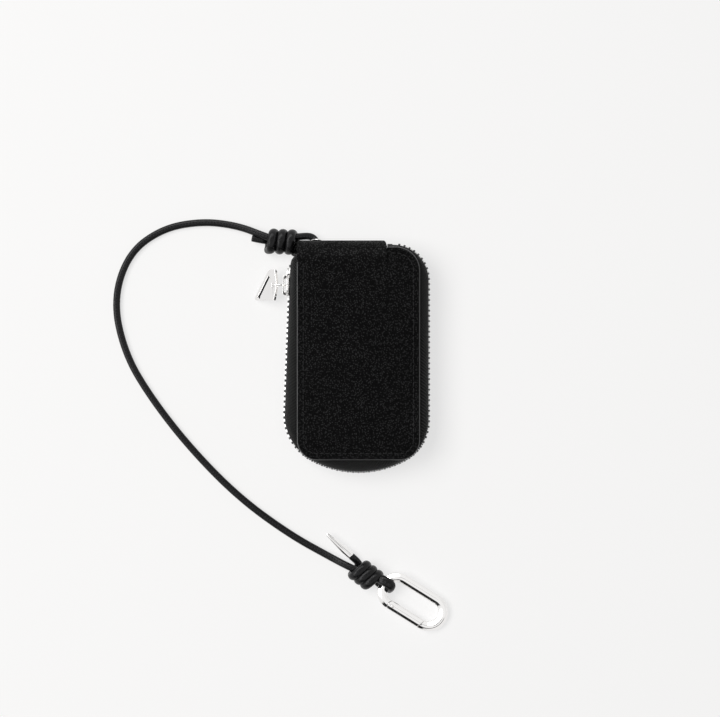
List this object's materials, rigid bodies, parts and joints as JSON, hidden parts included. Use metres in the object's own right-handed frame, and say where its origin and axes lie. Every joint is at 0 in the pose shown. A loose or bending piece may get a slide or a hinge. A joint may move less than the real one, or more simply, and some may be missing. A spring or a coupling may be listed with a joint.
{
  "type": "key case",
  "caption": "Black leather zip-round key case with key hooks inside and a round cord that ends in a spring-gate carabiner.",
  "frame": {"origin": "centre of the back panel's resting face, between the fold and the bottom edge", "axes": "+X to the right of the picture, +Y towards the fold at its top, +Z out of the front panel"},
  "size_m": [0.1611, 0.198, 0.022],
  "materials": {
    "panel_leather": "fine pebble grain, low sheen, grey painted cut edge",
    "stiff_board": "bare board",
    "lining_cloth": "fine twill",
    "zip_tape": "herringbone weave",
    "zip_metal": "polished nickel",
    "plated_metal": "polished nickel",
    "steel": "satin",
    "cord_leather": "round cord, semi-gloss, with a seam"
  },
  "bodies": {
    "back_half": {"back_panel": "panel_leather", "back_stiffener": "stiff_board", "back_lining": "lining_cloth", "back_zip_tape": "zip_tape", "back_zip_teeth": "zip_metal", "back_top_stop": "zip_metal", "zip_end_stop": "zip_metal", "cord_eyelet": "plated_metal", "key_rail": "steel", "key_rail_rod": "steel", "key_rail_rivets": "steel", "lanyard_cord": "cord_leather", "case_knot": "cord_leather", "hook_knot": "cord_leather", "cord_tip": "plated_metal"},
    "front_half": {"front_panel": "panel_leather", "front_stiffener": "stiff_board", "front_lining": "lining_cloth", "front_zip_tape": "zip_tape", "front_zip_teeth": "zip_metal", "front_top_stop": "zip_metal"},
    "zip_slider": {"slider_body": "plated_metal", "slider_crown": "plated_metal"},
    "pull_link": {"pull_link": "plated_metal"},
    "pull_tab": {"pull_tab": "plated_metal"},
    "carabiner": {"carabiner_frame": "plated_metal", "gate_pin": "plated_metal"},
    "carabiner_gate": {"carabiner_gate": "plated_metal", "gate_plunger": "steel", "gate_spring": "steel"},
    "key_hook_1": {"key_hook_1": "steel"},
    "key_hook_2": {"key_hook_2": "steel"},
    "key_hook_3": {"key_hook_3": "steel"},
    "key_hook_4": {"key_hook_4": "steel"}
  },
  "joints": [
    {"name": "cover_fold", "type": "hinge", "parent": "back_half", "child": "front_half", "pos_m": [0, 0.052, 0.011], "axis": [-1, 0, 0], "range_deg": [0, 150]},
    {"name": "zip_travel", "type": "slide", "parent": "back_half", "child": "zip_slider", "axis": [-0.0385, -0.9993, 0], "range_m": [0, 0.052], "deforming": ["back_zip_teeth", "front_zip_teeth"]},
    {"name": "link_swing", "type": "hinge", "parent": "zip_slider", "child": "pull_link", "pos_m": [-0.03469, 0.0306, 0.011], "axis": [0, 0, 1], "range_deg": [-9, 9]},
    {"name": "tab_lift", "type": "hinge", "parent": "pull_link", "child": "pull_tab", "pos_m": [-0.03778, 0.03072, 0.011], "axis": [0.0385, 0.9993, 0], "range_deg": [-12, 90]},
    {"name": "carabiner_swing", "type": "hinge", "parent": "back_half", "child": "carabiner", "pos_m": [0.0182, -0.11588, 0.00502], "axis": [0.0882, -0.0562, 0.9945], "range_deg": [-30, 30]},
    {"name": "gate_opening", "type": "hinge", "parent": "carabiner", "child": "carabiner_gate", "pos_m": [0.01589, -0.12265, 0.00485], "axis": [0.0882, -0.0562, 0.9945], "range_deg": [0, 28], "stiffness_Nm_per_rad": 0.01, "springref_deg": -28.65},
    {"name": "key_hook_1_lift", "type": "hinge", "parent": "back_half", "child": "key_hook_1", "pos_m": [-0.0138, 0.0283, 0.0046], "axis": [-1, 0, 0], "range_deg": [0, 30]},
    {"name": "key_hook_2_lift", "type": "hinge", "parent": "back_half", "child": "key_hook_2", "pos_m": [-0.0046, 0.0283, 0.0046], "axis": [-1, 0, 0], "range_deg": [0, 30]},
    {"name": "key_hook_3_lift", "type": "hinge", "parent": "back_half", "child": "key_hook_3", "pos_m": [0.0046, 0.0283, 0.0046], "axis": [-1, 0, 0], "range_deg": [0, 30]},
    {"name": "key_hook_4_lift", "type": "hinge", "parent": "back_half", "child": "key_hook_4", "pos_m": [0.0138, 0.0283, 0.0046], "axis": [-1, 0, 0], "range_deg": [0, 30]}
  ]
}
